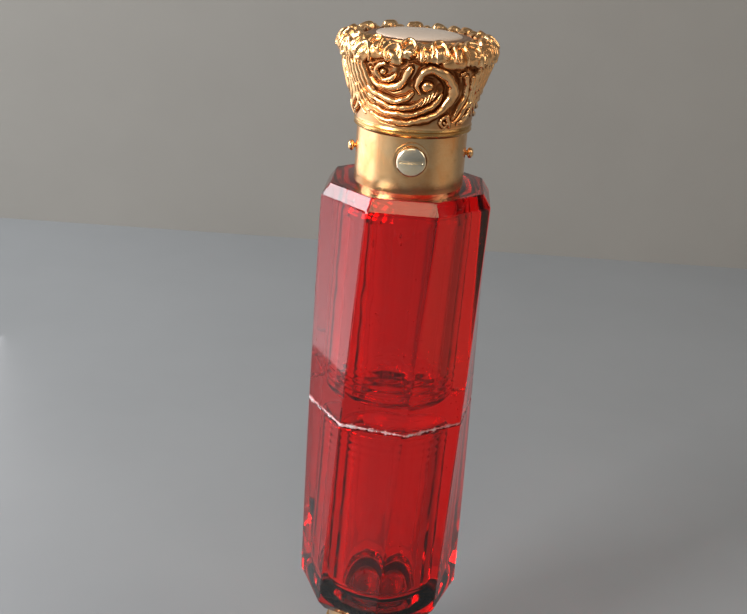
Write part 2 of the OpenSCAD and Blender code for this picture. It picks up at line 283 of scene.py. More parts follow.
# ---------------------------------------------------------------- mesh helper
def mesh_obj(name, verts, faces, mat, smooth=True):
    me = bpy.data.meshes.new(name)
    me.from_pydata([tuple(v) for v in verts], [], faces)
    me.update()
    ob = bpy.data.objects.new(name, me)
    scene.collection.objects.link(ob)
    me.materials.append(mat)
    me.polygons.foreach_set("use_smooth", [smooth] * len(me.polygons))
    return ob

rng = np.random.RandomState(7)
def smooth_noise(x, y, seed, terms=14, lo=0.5, hi=3.0):
    r = np.random.RandomState(seed)
    out = np.zeros(np.broadcast(x, y).shape)
    for _ in range(terms):
        fx, fy = r.randint(1, 9), r.uniform(lo, hi)
        out += np.sin(fx * x + fy * y + r.uniform(0, 6.28)) / terms ** 0.5
    return out

# ---------------------------------------------------------------- glass body
AF = 25.0
APO = AF / 2
RC = APO / math.cos(math.radians(22.5))
TWIST, TURN_TOP = 21.0, -2.7
BEV_W, BEV_H = 1.2, 1.9
NECK_R, BORE_R, CAV_R = 5.0, 3.6, 7.2
g0, g1, gm = Z_G0 / MM, Z_G1 / MM, Z_MID / MM

def turn_at(z):
    return TURN_TOP - TWIST + TWIST * (z - g0) / (g1 - g0)

# angles of the points on a ring: eleven on each facet and a narrow strip on each edge
EPS = 0.62
K = 13
ang = []
sharp_cols = []
for k in range(8):
    ds = np.degrees(np.arctan(np.linspace(-1, 1, K) * math.tan(math.radians(22.5 - EPS))))
    sharp_cols += [len(ang), len(ang) + K - 1]
    ang += [45 * k + d for d in ds]
ang = np.radians(np.array(ang))
NR = len(ang)
dlt = (np.degrees(ang) + 22.5) % 45 - 22.5

def oct_ring(z, apo, turn):
    r = apo / np.cos(np.radians(dlt))
    a = ang + math.radians(turn)
    return np.stack([r * np.cos(a), r * np.sin(a), np.full(NR, z)], 1)

def circ_ring(z, r, turn=0.0):
    a = ang + math.radians(turn)
    return np.stack([r * np.cos(a), r * np.sin(a), (np.full(NR, z) if np.isscalar(z) else z)], 1)

def cavity_rings(zf, zs, zt, turn, seed):
    """rings from the mouth down to the floor; zf below zs below zt, or the other way round"""
    d = 1 if zt > zf else -1
    out = []
    L = abs(zs - zf)
    out.append(circ_ring(zt, BORE_R, turn))
    for t in np.linspace(0.15, 1, 5):
        out.append(circ_ring(zt + (zs - zt) * t, BORE_R, turn))
    # shoulder
    for r_, h_ in ((4.3, 0.12), (5.1, 0.42), (5.9, 0.95), (6.5, 1.6), (6.95, 2.4), (7.15, 3.1)):
        out.append(circ_ring(zs - d * h_, r_, turn))
    # wall with waves, strongest near the floor
    n = 84
    for t in np.linspace(0, 1, n):
        h = (L - 3.6) - (L - 3.6 - 1.7) * t
        z = zf + d * h
        rip = (0.13 if seed == 1 else 0.05) * math.exp(-((h - 2.2) / 3.2) ** 2) * np.sin(2 * math.pi * h / 1.3 + 0.9 * np.sin(2 * ang + seed))
        low = 0.02 * smooth_noise(ang, np.full(NR, h * 0.45), seed)
        out.append(circ_ring(z, CAV_R + rip + low, turn))
    for r_, h_ in ((7.05, 1.2), (6.75, 0.75), (6.2, 0.35), (5.4, 0.12), (4.2, 0.02), (2.6, -0.02), (1.0, -0.03)):
        out.append(circ_ring(zf + d * h_ + 0.03 * smooth_noise(ang, np.full(NR, r_), seed + 3), r_, turn))
    return out

def build_glass():
    rings, flags = [], []   # flags: True where the columns at the facet edges are sharp
    def add(r, octa=False):
        rings.append(r); flags.append(octa)
    up = cavity_rings(gm + 1.8, g1 - 1.2, g1 + 5.9, turn_at(g1), 1)
    for r in up[::-1]:
        add(r)
    add(circ_ring(g1 + 6.0, BORE_R + 0.15, turn_at(g1)))
    add(circ_ring(g1 + 6.0, NECK_R - 0.15, turn_at(g1)))
    add(circ_ring(g1 + 5.85, NECK_R, turn_at(g1)))
    add(circ_ring(g1 + 0.12, NECK_R, turn_at(g1)))
    add(circ_ring(g1, NECK_R + 0.12, turn_at(g1)))
    # flat end, bevel, body
    add(oct_ring(g1, APO - BEV_W - 0.10, turn_at(g1)), True)
    add(oct_ring(g1 - 0.10, APO - BEV_W + 0.03, turn_at(g1)), True)
    add(oct_ring(g1 - BEV_H + 0.12, APO - 0.06, turn_at(g1)), True)
    add(oct_ring(g1 - BEV_H - 0.12, APO, turn_at(g1 - BEV_H)), True)
    for z in np.linspace(g1 - BEV_H - 1.2, gm + 0.55, 34):
        add(oct_ring(z, APO, turn_at(z)), True)
    # the ground and slightly chipped joint between the two halves
    chip = 0.07 * smooth_noise(ang, ang * 0 + 1.0, 21, 24, 1, 9)
    for z, dpt in ((0.34, 0.0), (0.24, 0.10), (0.10, 0.30), (0.0, 0.40), (-0.10, 0.30), (-0.24, 0.10), (-0.34, 0.0)):
        zz = gm + z
        r = oct_ring(zz, APO, turn_at(zz))
        jit = 0.5 * smooth_noise(ang * 5, ang * 0 + z * 9, 33, 20, 1, 9)
        dd = np.clip(dpt * (1 + 1.2 * jit) + chip * (dpt > 0), 0, 0.9)
        sc = 1 - dd / np.linalg.norm(r[:, :2], axis=1)
        r[:, :2] *= sc[:, None]
        r[:, 2] += 0.10 * (abs(z) < 0.3) * smooth_noise(ang * 3, ang * 0 + 2.0, 45, 20, 1, 9)
        add(r, True)
    for z in np.linspace(gm - 0.55, g0 + BEV_H + 1.2, 34):
        add(oct_ring(z, APO, turn_at(z)), True)
    add(oct_ring(g0 + BEV_H + 0.12, APO, turn_at(g0 + BEV_H)), True)
    add(oct_ring(g0 + BEV_H - 0.12, APO - 0.06, turn_at(g0)), True)
    add(oct_ring(g0 + 0.10, APO - BEV_W + 0.03, turn_at(g0)), True)
    add(oct_ring(g0, APO - BEV_W - 0.10, turn_at(g0)), True)
    add(circ_ring(g0, NECK_R + 0.12, turn_at(g0)))
    add(circ_ring(g0 - 0.12, NECK_R, turn_at(g0)))
    add(circ_ring(g0 - 7.45, NECK_R, turn_at(g0)))
    add(circ_ring(g0 - 7.6, NECK_R - 0.15, turn_at(g0)))
    add(circ_ring(g0 - 7.6, BORE_R + 0.15, turn_at(g0)))
    lowr = cavity_rings(gm - 1.8, g0 + 1.2, g0 - 7.5, turn_at(g0), 5)
    for r in lowr:
        add(r)
    V = np.concatenate(rings + [[[0, 0, rings[0][0, 2]]], [[0, 0, rings[-1][0, 2]]]]) * MM
    F = []
    nrg = len(rings)
    for i in range(nrg - 1):
        for k in range(NR):
            k1 = (k + 1) % NR
            F.append((i * NR + k, (i + 1) * NR + k, (i + 1) * NR + k1, i * NR + k1))
    for k in range(NR):
        k1 = (k + 1) % NR
        F.append((nrg * NR, k, k1))
        F.append((nrg * NR + 1, (nrg - 1) * NR + k1, (nrg - 1) * NR + k))
    # air bubbles: small closed balls whose faces look inward
    V = [tuple(v) for v in V]
    base_faces = len(F)
    bub = []
    for (bx, by, bz, br, bl) in BUBBLES:
        bub.append((bx, by, bz, br, bl))
    for bx, by, bz, br, bl in bub:
        off = len(V)
        nu, nv = 8, 5
        for j in range(1, nv):
            t = math.pi * j / nv
            for i in range(nu):
                a = 2 * math.pi * i / nu
                V.append(((bx + br * math.sin(t) * math.cos(a)) * MM, (by + br * math.sin(t) * math.sin(a)) * MM, (bz + bl * math.cos(t)) * MM))
        V.append((bx * MM, by * MM, (bz + bl) * MM)); V.append((bx * MM, by * MM, (bz - bl) * MM))
        top, bot = len(V) - 2, len(V) - 1
        for j in range(nv - 2):
            for i in range(nu):
                i1 = (i + 1) % nu
                F.append((off + j * nu + i, off + j * nu + i1, off + (j + 1) * nu + i1, off + (j + 1) * nu + i))
        for i in range(nu):
            i1 = (i + 1) % nu
            F.append((top, off + i1, off + i))
            F.append((bot, off + (nv - 2) * nu + i, off + (nv - 2) * nu + i1))
    ob = mesh_obj("glass_body", V, F, RUBY)
    me = ob.data
    # outward direction of the main surface
    vol = 0.0
    co = np.empty(len(me.vertices) * 3); me.vertices.foreach_get("co", co); co = co.reshape(-1, 3)
    for f in F[:base_faces][::7]:
        a, b, c = co[f[0]], co[f[1]], co[f[2]]
        vol += np.dot(a, np.cross(b, c))
    print("glass orientation sample", vol)
    # sharp columns and rings on the cut facets
    sharp = set()
    def key(a, b): return (a, b) if a < b else (b, a)
    for i in range(nrg - 1):
        if flags[i] and flags[i + 1]:
            for c in sharp_cols:
                sharp.add(key(i * NR + c, (i + 1) * NR + c))
    for i in range(nrg):
        if flags[i] and (i == 0 or not flags[i - 1] or not flags[i + 1]):
            for k in range(NR):
                sharp.add(key(i * NR + k, i * NR + (k + 1) % NR))
    z_list = [rings[i][0, 2] for i in range(nrg)]
    for i in range(nrg):
        if flags[i] and (abs(z_list[i] - (g1 - 0.10)) < 1e-6 or abs(z_list[i] - (g1 - BEV_H + 0.12)) < 1e-6 or abs(z_list[i] - (g1 - BEV_H - 0.12)) < 1e-6
                         or abs(z_list[i] - (g0 + 0.10)) < 1e-6 or abs(z_list[i] - (g0 + BEV_H + 0.12)) < 1e-6 or abs(z_list[i] - (g0 + BEV_H - 0.12)) < 1e-6
                         or abs(z_list[i] - gm) < 0.45):
            for k in range(NR):
                sharp.add(key(i * NR + k, i * NR + (k + 1) % NR))
    att = me.attributes.new("sharp_edge", "BOOLEAN", "EDGE") if "sharp_edge" not in me.attributes else me.attributes["sharp_edge"]
    ev = np.empty(len(me.edges) * 2, dtype=np.int64)
    me.edges.foreach_get("vertices", ev)
    ev = ev.reshape(-1, 2)
    vals = [key(int(a), int(b)) in sharp for a, b in ev]
    att.data.foreach_set("value", vals)
    me.update()
    return ob

def bubbles():
    """a few listed seeds in the wall behind the front facets, and fine ones scattered through the glass"""
    out = []
    for a, z, r, br, bl in (
            (-22, 91.6, 9.6, 0.22, 0.22), (-4, 89.9, 9.4, 0.16, 0.40), (-3, 88.6, 9.2, 0.13, 0.3), (-26, 88.4, 10.2, 0.12, 0.7),
            (12, 83.5, 10.0, 0.10, 0.10), (-21, 77.4, 9.3, 0.16, 0.12), (-19, 77.2, 9.4, 0.12, 0.12), (8, 78.3, 9.7, 0.18, 0.14),
            (8, 71.0, 9.6, 0.13, 0.13), (20, 69.2, 9.8, 0.2, 0.08), (-12, 31.6, 9.4, 0.2, 0.34), (-10, 30.0, 9.6, 0.15, 0.3),
            (8, 30.8, 9.3, 0.18, 0.26), (10, 29.7, 9.5, 0.13, 0.3), (16, 36.2, 10, 0.24, 0.14), (14, 37.2, 9.8, 0.18, 0.12)):
        t = math.radians(a)
        out.append((r * math.sin(t), -r * math.cos(t), z, br, bl))
    r = np.random.RandomState(11)
    for _ in range(70):
        t = r.uniform(0, 2 * math.pi); rr = r.uniform(8.1, 11.2); z = r.uniform(g0 + 4, g1 - 4)
        if abs(z - gm) < 2.4: continue
        b = r.uniform(0.03, 0.085)
        out.append((rr * math.cos(t), rr * math.sin(t), z, b, b * r.uniform(1, 2.2)))
    for _ in range(60):
        t = r.uniform(0, 2 * math.pi); rr = math.sqrt(r.uniform(0, 1)) * 11.4
        b = r.uniform(0.04, 0.12)
        out.append((rr * math.cos(t), rr * math.sin(t), gm + r.uniform(-0.9, 0.9), b, b * r.uniform(0.5, 1)))
    return out

BUBBLES = bubbles()
glass = build_glass()
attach(glass, "bottle")
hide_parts("glass_upper", "glass_lower")

# ---------------------------------------------------------------- cement at the joint
def build_cement():
    """an uneven bead of clear cement in the joint's groove, following the eight sides"""
    nsec = 7
    V, F = [], []
    n = 384
    for i in range(n):
        a = 2 * math.pi * i / n
        d = (math.degrees(a) + 22.5) % 45 - 22.5
        rr = (APO - 0.10) / math.cos(math.radians(d))
        t = a + math.radians(turn_at(gm))
        w = 0.21 + 0.15 * math.sin(i * 0.61 + 2 * math.sin(i * 0.13)) * math.sin(i * 0.237) + 0.07 * math.sin(i * 1.9)
        at = (math.degrees(t) + 180) % 360 - 180
        w = max(w, 0.06) + 0.26 * math.exp(-((at + 6) / 9) ** 2) + 0.14 * math.exp(-((abs(at) - 172) / 9) ** 2) + 0.10 * math.exp(-((at + 128) / 10) ** 2)
        dz = 0.06 * math.sin(i * 0.33) + 0.04 * math.sin(i * 0.11 + 1)
        for s in range(nsec):
            b = 2 * math.pi * s / nsec
            r_ = rr - 0.20 + w * 0.62 * math.cos(b) + 0.05 * math.sin(i * 2.3 + s)
            V.append((r_ * math.cos(t) * MM, r_ * math.sin(t) * MM, (gm + dz + w * 1.25 * math.sin(b)) * MM))
    for i in range(n):
        for s in range(nsec):
            i1, s1 = (i + 1) % n, (s + 1) % nsec
            F.append((i * nsec + s, i1 * nsec + s, i1 * nsec + s1, i * nsec + s1))
    return mesh_obj("joint_cement_bead", V, F, GLUE)
cem = build_cement()
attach(cem, "bottle")
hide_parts("joint_cement")

# ---------------------------------------------------------------- embossed cap shells
PROF = [(1.3, 8.60), (2.2, 8.76), (3.4, 8.90), (5.0, 9.08), (6.8, 9.48), (8.4, 10.02), (9.7, 10.5), (10.7, 10.72),
        (11.4, 10.62), (12.0, 10.25), (12.45, 9.65), (12.75, 9.0), (12.95, 8.35), (13.0, 7.70)]

def along(points, n=10):
    """a smooth path through the points: rows of angle, height, half-width, rise"""
    P = np.array(points, float)
    out = []
    for i in range(len(P) - 1):
        p0, p1, p2, p3 = P[max(i - 1, 0)], P[i], P[i + 1], P[min(i + 2, len(P) - 1)]
        for t in np.linspace(0, 1, n, endpoint=False):
            out.append(0.5 * ((2 * p1) + (-p0 + p2) * t + (2 * p0 - 5 * p1 + 4 * p2 - p3) * t * t + (-p0 + 3 * p1 - 3 * p2 + p3) * t ** 3))
    out.append(P[-1])
    return np.array(out)

DEG = math.radians(1) * 9.9      # millimetres along the skin for each degree
RIDGES = [
    # the big C-scroll and its curl
    [(3.2, 6.6, 0.18, 0.20), (0.6, 7.4, 0.30, 0.42), (0.0, 8.4, 0.38, 0.55), (2.4, 9.4, 0.44, 0.62), (7.4, 10.05, 0.50, 0.66),
     (14.0, 10.05, 0.58, 0.70), (22.0, 9.2, 0.70, 0.74), (28.2, 8.05, 0.80, 0.78), (31.2, 6.75, 0.82, 0.78), (29.8, 5.6, 0.78, 0.74),
     (24.1, 4.57, 0.62, 0.66), (15.7, 3.51, 0.52, 0.58), (5.6, 2.78, 0.46, 0.50), (-6.5, 2.36, 0.42, 0.44), (-19.4, 2.3, 0.38, 0.38), (-33, 2.55, 0.3, 0.28), (-44, 3.0, 0.2, 0.15)],
    [(22.2, 6.5, 0.20, 0.2), (19.0, 5.6, 0.34, 0.42), (12.0, 4.65, 0.40, 0.50), (2.8, 3.84, 0.40, 0.50), (-8.3, 3.46, 0.38, 0.46), (-20.4, 3.42, 0.36, 0.42), (-33, 3.7, 0.32, 0.35), (-46, 4.3, 0.24, 0.22)],
    [(4.6, 5.7, 0.18, 0.2), (-1.9, 4.85, 0.34, 0.42), (-10.2, 4.36, 0.38, 0.48), (-19.4, 4.36, 0.36, 0.44), (-30, 4.7, 0.34, 0.40), (-42, 5.4, 0.28, 0.30), (-50, 6.2, 0.2, 0.18)],
    [(-3.6, 6.6, 0.22, 0.28), (-9.0, 5.75, 0.42, 0.52), (-17.0, 5.35, 0.48, 0.58), (-27, 5.6, 0.46, 0.55), (-37, 6.1, 0.40, 0.46), (-47, 7.0, 0.28, 0.30)],
    [(-6.0, 10.3, 0.35, 0.45), (-9.2, 9.3, 0.44, 0.58), (-10.6, 8.3, 0.46, 0.62), (-16.7, 7.5, 0.46, 0.62), (-25, 7.15, 0.42, 0.56), (-33.3, 7.3, 0.36, 0.46), (-40, 8.0, 0.26, 0.28)],
    [(-17, 9.0, 0.2, 0.3), (-21, 8.3, 0.32, 0.45), (-28, 8.2, 0.34, 0.5), (-32.5, 9.0, 0.34, 0.5), (-31, 10.0, 0.34, 0.5), (-26, 10.6, 0.3, 0.4)],
    # small leaf low on the right
    [(36, 1.7, 0.16, 0.15), (33, 2.5, 0.3, 0.36), (29.5, 3.3, 0.32, 0.42), (25, 2.9, 0.26, 0.36), (25.5, 2.1, 0.22, 0.3), (29, 1.8, 0.2, 0.3), (31, 2.3, 0.18, 0.3)],
    [(36, 3.0, 0.2, 0.2), (40, 4.0, 0.36, 0.42), (44, 5.3, 0.42, 0.5), (46, 6.6, 0.4, 0.45), (44, 8.0, 0.34, 0.4), (40, 9.0, 0.3, 0.35)],
    [(38, 2.4, 0.2, 0.2), (44, 3.2, 0.34, 0.42), (50, 4.4, 0.4, 0.48), (53, 5.8, 0.38, 0.45), (52, 7.4, 0.32, 0.4), (49, 8.8, 0.28, 0.32)],
    [(44, 2.1, 0.2, 0.2), (52, 2.7, 0.32, 0.38), (58, 3.8, 0.36, 0.42), (61, 5.4, 0.32, 0.36), (60, 6.8, 0.24, 0.22)],
]
for i, a0 in enumerate((-45.5, -50.0, -54.5, -59.0, -63.5, -68.0)):   # shell flutes that sweep down into the bands
    RIDGES.append([(a0, 10.8, 0.20, 0.3), (a0 + 0.2, 9.7, 0.33, 0.50), (a0 + 1.6, 8.4 - 0.1 * i, 0.36, 0.54), (a0 + 5, 7.1 - 0.35 * i, 0.32, 0.46), (a0 + 10.5, 6.1 - 0.5 * i, 0.24, 0.32), (a0 + 16, 5.6 - 0.58 * i, 0.12, 0.12)])
for a0, v0, w0 in ((-72, 4.6, 0.34), (-73, 2.9, 0.32)):
    RIDGES.append([(a0 - 4, v0 - 0.5, 0.16, 0.15), (a0 + 2, v0 - 0.2, w0, 0.42), (a0 + 9, v0 + 0.5, w0, 0.42), (a0 + 14, v0 + 1.3, 0.2, 0.2)])
for i in range(6):                                               # fine ribs inside the C-scroll
    a0 = 17.5 - 3.1 * i
    RIDGES.append([(a0, 6.9 - 0.28 * i, 0.10, 0.14), (a0 - 1.4, 6.2 - 0.26 * i, 0.16, 0.26), (a0 - 3.4, 5.6 - 0.24 * i, 0.12, 0.18)])
BALLS = [(7.9, 7.8, 0.78, 0.70), (28.6, 2.35, 0.26, 0.30), (-27, 9.3, 0.42, 0.42), (36, 9.6, 0.34, 0.3), (-38, 9.4, 0.3, 0.3)]
# rocaille lobes round the rim: angle, place along the outline, half-width, half-height, rise, lean
LOBES = [(-70, 11.4, 2.2, 1.6, 0.85, 0.3), (-57, 12.1, 2.0, 1.7, 1.00, -0.4), (-45, 11.3, 1.6, 1.3, 0.85, 0.5), (-34, 12.3, 2.2, 1.6, 1.05, 0.2),
         (-20, 11.6, 1.7, 1.3, 0.85, -0.5), (-8, 12.4, 1.9, 1.3, 0.95, 0.4), (5, 11.8, 1.7, 1.1, 0.75, -0.3), (16, 12.2, 1.9, 1.4, 0.95, 0.4),
         (29, 11.6, 2.3, 1.6, 1.15, 0.4), (43, 12.0, 2.0, 1.7, 1.05, -0.4), (54, 11.2, 1.6, 1.3, 0.85, 0.4), (66, 12.0, 2.0, 1.6, 0.95, -0.3)]
# curled edges on the lobes
for k, (a, v, ru, rv, h, lean) in enumerate(LOBES):
    f = 1 if k % 2 else -1
    RIDGES.append([(a - f * 7.5, v - 0.75, 0.22, h * 0.7), (a - f * 7, v + 0.25, 0.34, h + 0.12), (a - f * 3.5, v + 1.0, 0.40, h + 0.26), (a + f * 1.5, v + 0.95, 0.40, h + 0.30),
                   (a + f * 4.2, v + 0.25, 0.36, h + 0.24), (a + f * 3.2, v - 0.55, 0.30, h + 0.12), (a + f * 0.2, v - 0.5, 0.22, h + 0.02)])
LOBES = [(a, v, ru, rv, h * 0.86, lean) for a, v, ru, rv, h, lean in LOBES]
LOBES += [(a, 13.7 + 0.25 * math.sin(a), 1.5, 0.9, 0.52, 0.2 * math.cos(a)) for a in range(-66, 70, 13)]
HOLLOWS = [(-23.5, 9.8, 0.55, 0.35), (-14.2, 9.6, 0.45, 0.35), (-4.8, 7.9, 0.5, 0.4), (12.5, 8.6, 0.45, 0.25), (17.5, 7.4, 0.6, 0.35),
           (36, 7.3, 0.8, 0.4), (34.5, 4.4, 0.7, 0.4), (15, 10.9, 0.35, 0.3), (40, 10.2, 0.35, 0.3), (-34, 8.2, 0.4, 0.3), (-19, 8.9, 0.35, 0.25)]

def relief(theta, s, turn):
    """rise of the embossing at each angle (degrees from the front) and height, in millimetres"""
    best = np.zeros(theta.shape)
    trough = np.zeros(theta.shape)
    for rep in range(3):
        d0 = (theta - turn - 120 * rep + 180) % 360 - 180
        near = np.abs(d0) < 76
        u0 = d0[near] * DEG
        v0 = s[near]
        u = u0 + 0.10 * np.sin(1.9 * v0 + 0.7 * u0 + rep) + 0.05 * np.sin(4.3 * v0 - 2.1 * u0)
        v = v0 + 0.08 * np.sin(1.7 * u0 - 0.9 * v0 + 2 * rep) + 0.04 * np.sin(3.9 * u0 + 2.3 * v0)
        b = np.zeros(u.shape)
        tr = np.zeros(u.shape)
        for path in RIDGES:
            P = along(path, 7)
            pu, pv = P[:, 0] * DEG, P[:, 1]
            sel = (u > pu.min() - 1.8) & (u < pu.max() + 1.8) & (v > pv.min() - 1.8) & (v < pv.max() + 1.8)
            uu, vv = u[sel], v[sel]
            q = np.full(uu.shape, 9.0); hh = np.zeros(uu.shape)
            for i in range(len(P) - 1):
                ax, ay, bx, by = pu[i], pv[i], pu[i + 1], pv[i + 1]
                ll = (bx - ax) ** 2 + (by - ay) ** 2 + 1e-9
                t = np.clip(((uu - ax) * (bx - ax) + (vv - ay) * (by - ay)) / ll, 0, 1)
                dd = np.hypot(uu - ax - t * (bx - ax), vv - ay - t * (by - ay))
                w = P[i, 2] + (P[i + 1, 2] - P[i, 2]) * t
                h = P[i, 3] + (P[i + 1, 3] - P[i, 3]) * t
                qq = dd / w
                m = qq < q
                q[m] = qq[m]; hh[m] = h[m]
            rise = hh * np.sqrt(np.clip(1 - (q / 1.05) ** 2, 0, 1))
            b[sel] = np.maximum(b[sel], rise)
            tr[sel] = np.maximum(tr[sel], hh * 0.55 * np.exp(-((q - 1.28) / 0.42) ** 2))
        for a, c, r_, h in BALLS:
            dd = np.hypot(u - a * DEG, v - c) / r_
            b = np.maximum(b, h * np.sqrt(np.clip(1 - dd ** 2, 0, 1)))
            tr = np.maximum(tr, 0.3 * np.exp(-((dd - 1.25) / 0.35) ** 2))
        for a, c, ru, rv, h, lean in LOBES:
            lu, lv = (u - a * DEG - lean * (v - c)) / ru, (v - c) / rv
            dd = np.hypot(lu, lv)
            fan = np.arctan2(lu, lv + 1.5)
            rib = 0.12 * np.cos(fan * 9) * np.clip(1.3 - dd, 0, 1)
            b = np.maximum(b, (h + rib) * np.clip(1 - dd ** 2, 0, 1) ** 0.7)
            tr = np.maximum(tr, 0.42 * np.exp(-((dd - 1.08) / 0.2) ** 2))
        for a, c, r_, h in HOLLOWS:
            dd = np.hypot(u - a * DEG, v - c) / r_
            tr = np.maximum(tr, h * np.exp(-dd ** 2 * 1.2))
        edge = np.clip((76 - np.abs(d0[near])) / 8, 0, 1)
        best[near] = np.maximum(best[near], b * edge)
        trough[near] = np.maximum(trough[near], tr * edge)
    return best, trough

def cap_mesh(name, up, turn, flat_back):
    n_t, n_s = 900, 250
    S = np.array([p[0] for p in PROF]); R = np.array([p[1] for p in PROF])
    # even steps along the outline
    seg = np.r_[0, np.cumsum(np.hypot(np.diff(S), np.diff(R)))]
    t = np.linspace(0, seg[-1], n_s)
    ss, rr = np.interp(t, seg, S), np.interp(t, seg, R)
    for _ in range(10):   # soften the corners of the outline
        ss[1:-1] = (ss[:-2] + 2 * ss[1:-1] + ss[2:]) / 4
        rr[1:-1] = (rr[:-2] + 2 * rr[1:-1] + rr[2:]) / 4
    th = np.linspace(0, 360, n_t, endpoint=False)
    TH, SS = np.meshgrid(th, ss)
    _, RR = np.meshgrid(th, rr)
    along_v = np.where(t < np.interp(10.7, S, seg), ss, 10.7 + t - np.interp(10.7, S, seg))
    _, VV = np.meshgrid(th, along_v)
    b, tr = relief(TH, VV, turn)
    wob = 0.035 * smooth_noise(np.radians(TH), SS * 1.1, 3, 20, 0.6, 2.4)
    fade = np.clip((SS - 1.3) / 0.35, 0, 1) * np.clip((seg[-1] - t) / 0.35, 0, 1)[:, None]
    rise = (b * 1.12 - 0.85 * tr * (b < 0.05 + 0.6 * tr)) * fade
    if flat_back:
        back = np.abs((TH - 180 + 180) % 360 - 180)
        keep = np.clip((back - 20) / 5, 0, 1)   # plain skin under the hinge
        keep = np.maximum(keep, np.clip((SS - 4.3) / 0.6, 0, 1))
        rise = rise * keep + np.minimum(rise, -0.05) * 0 * (1 - keep)
        wob = wob * keep
    # direction of the outline's normal
    ds, dr = np.gradient(ss), np.gradient(rr)
    ln = np.hypot(ds, dr)
    nr, ns = ds / ln, -dr / ln
    H = rise + wob
    r_out = RR + H * nr[:, None]
    s_out = SS + H * ns[:, None]
    a = np.radians(TH)
    sg = 1 if up else -1
    z_ref = Z_SEAM / MM if up else Z_FOOT / MM
    z_out = z_ref + sg * s_out
    if not up:
        z_out = np.maximum(z_out, 0.12 + 0.25 * (z_out + 1) * (z_out > -1))
        z_out = np.maximum(z_out, 0.05)
    outer = np.stack([r_out * np.sin(a), -r_out * np.cos(a), z_out], -1).reshape(-1, 3)
    # inside of the shell: coarser, plain
    k_s = np.linspace(0, n_s - 1, 40).astype(int)
    inner = np.stack([(RR[k_s] - 0.55) * np.sin(a[k_s]), -(RR[k_s] - 0.55) * np.cos(a[k_s]), z_ref + sg * (SS[k_s] - 0.5 * np.clip((SS[k_s] - 9) / 3, 0, 1))], -1).reshape(-1, 3)
    V = np.concatenate([outer, inner]) * MM
    def quads(off, rows):
        i = np.arange(rows - 1)[:, None]; k = np.arange(n_t)[None, :]
        k1 = (k + 1) % n_t
        return np.stack(np.broadcast_arrays(off + i * n_t + k, off + i * n_t + k1, off + (i + 1) * n_t + k1, off + (i + 1) * n_t + k), -1).reshape(-1, 4)
    fo = quads(0, n_s)
    fi = quads(n_s * n_t, len(k_s))[:, ::-1]
    k = np.arange(n_t); k1 = (k + 1) % n_t
    off = n_s * n_t
    low = np.stack([k1, k, off + k, off + k1], -1)
    hi_ = (n_s - 1) * n_t; hi_i = off + (len(k_s) - 1) * n_t
    high = np.stack([hi_ + k, hi_ + k1, hi_i + k1, hi_i + k], -1)
    F = np.concatenate([fo, fi, low, high])
    if not up:
        F = F[:, ::-1]
    me = bpy.data.meshes.new(name)
    me.from_pydata(V.tolist(), [], F.tolist())
    me.update()
    ob = bpy.data.objects.new(name, me)
    scene.collection.objects.link(ob)
    me.materials.append(GILT_R)
    me.polygons.foreach_set("use_smooth", [True] * len(me.polygons))
    # mask for the dark colour: the troughs and hollows, plus the low skin between the ridges; partly the tarnish in the
    # hollows, partly painted shade in the recesses; the inside of the shell gets 0.5
    hol = np.clip((tr * (b < 0.1 + 0.6 * tr)) / 0.30, 0, 1) * 0.9 + 0.34 * np.clip(0.25 - b, 0, 0.25) / 0.25
    hol = np.concatenate([hol.reshape(-1) * fade.reshape(-1), np.full(len(inner), 0.5)])
    at = me.attributes.new("hollow", "FLOAT", "POINT")
    at.data.foreach_set("value", hol.astype(np.float32))
    return ob

cap_up = cap_mesh("embossed_lid_shell", True, 0, True)
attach(cap_up, "lid"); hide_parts("cap_shell")
cap_dn = cap_mesh("embossed_foot_shell", False, 40, False)
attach(cap_dn, "screw_cap"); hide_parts("screw_cap_shell")

# ---------------------------------------------------------------- small turned pieces
def lathe(centre, axis, side, prof, V, F, n=40, dent=None):
    """closed turned solid: prof is (distance along axis, radius) from one end to the other"""
    c, ax, sd = Vector(centre), Vector(axis).normalized(), Vector(side).normalized()
    ot = ax.cross(sd)
    off = len(V)
    for h, r in prof:
        for i in range(n):
            a = 2 * math.pi * i / n
            d = dent(r * math.cos(a), r * math.sin(a), h) if dent else 0.0
            V.append(tuple(c + ax * (h - d) * MM + (sd * math.cos(a) + ot * math.sin(a)) * r * MM))
    for j in range(len(prof) - 1):
        for i in range(n):
            i1 = (i + 1) % n
            F.append((off + j * n + i, off + j * n + i1, off + (j + 1) * n + i1, off + (j + 1) * n + i))
    V.append(tuple(c + ax * prof[0][0] * MM)); V.append(tuple(c + ax * (prof[-1][0] - (dent(0, 0, prof[-1][0]) if dent else 0)) * MM))
    a0, a1 = len(V) - 2, len(V) - 1
    for i in range(n):
        i1 = (i + 1) % n
        F.append((a0, off + i1, off + i))
        F.append((a1, off + (len(prof) - 1) * n + i, off + (len(prof) - 1) * n + i1))

def build_button():
    """domed push button with one fine cut line across its face"""
    V, F = [], []
    y0 = BTN[0][1] / MM                       # front of the dome
    r0 = (BTN[1][0] - BTN[0][0]) / 2 / MM
    prof = [(6.95, 0.65), (8.78, 0.65), (8.8, 1.2), (8.8, r0 - 0.08), (8.86, r0)]
    top = -y0
    n = 46
    for k in range(n):
        r = r0 * (1 - (k / (n - 1)) ** 1.0 * 0.985)
        prof.append((top - 0.03 - 0.42 * (r / r0) ** 2 - 0.1 * max(0, (r / r0 - 0.9) / 0.1) ** 2, r))
    cut = lambda x, y, h: (0.17 * math.exp(-(y / 0.13) ** 4) * (1 if abs(x) < 1.55 else math.exp(-((abs(x) - 1.55) / 0.12) ** 2)) if h > 9.0 else 0.0)
    lathe((0, 0, BTN_Z), (0, -1, 0), (1, 0, 0), prof, V, F, 120, cut)
    ob = mesh_obj("button_dome", V, F, GILT_B)
    return ob
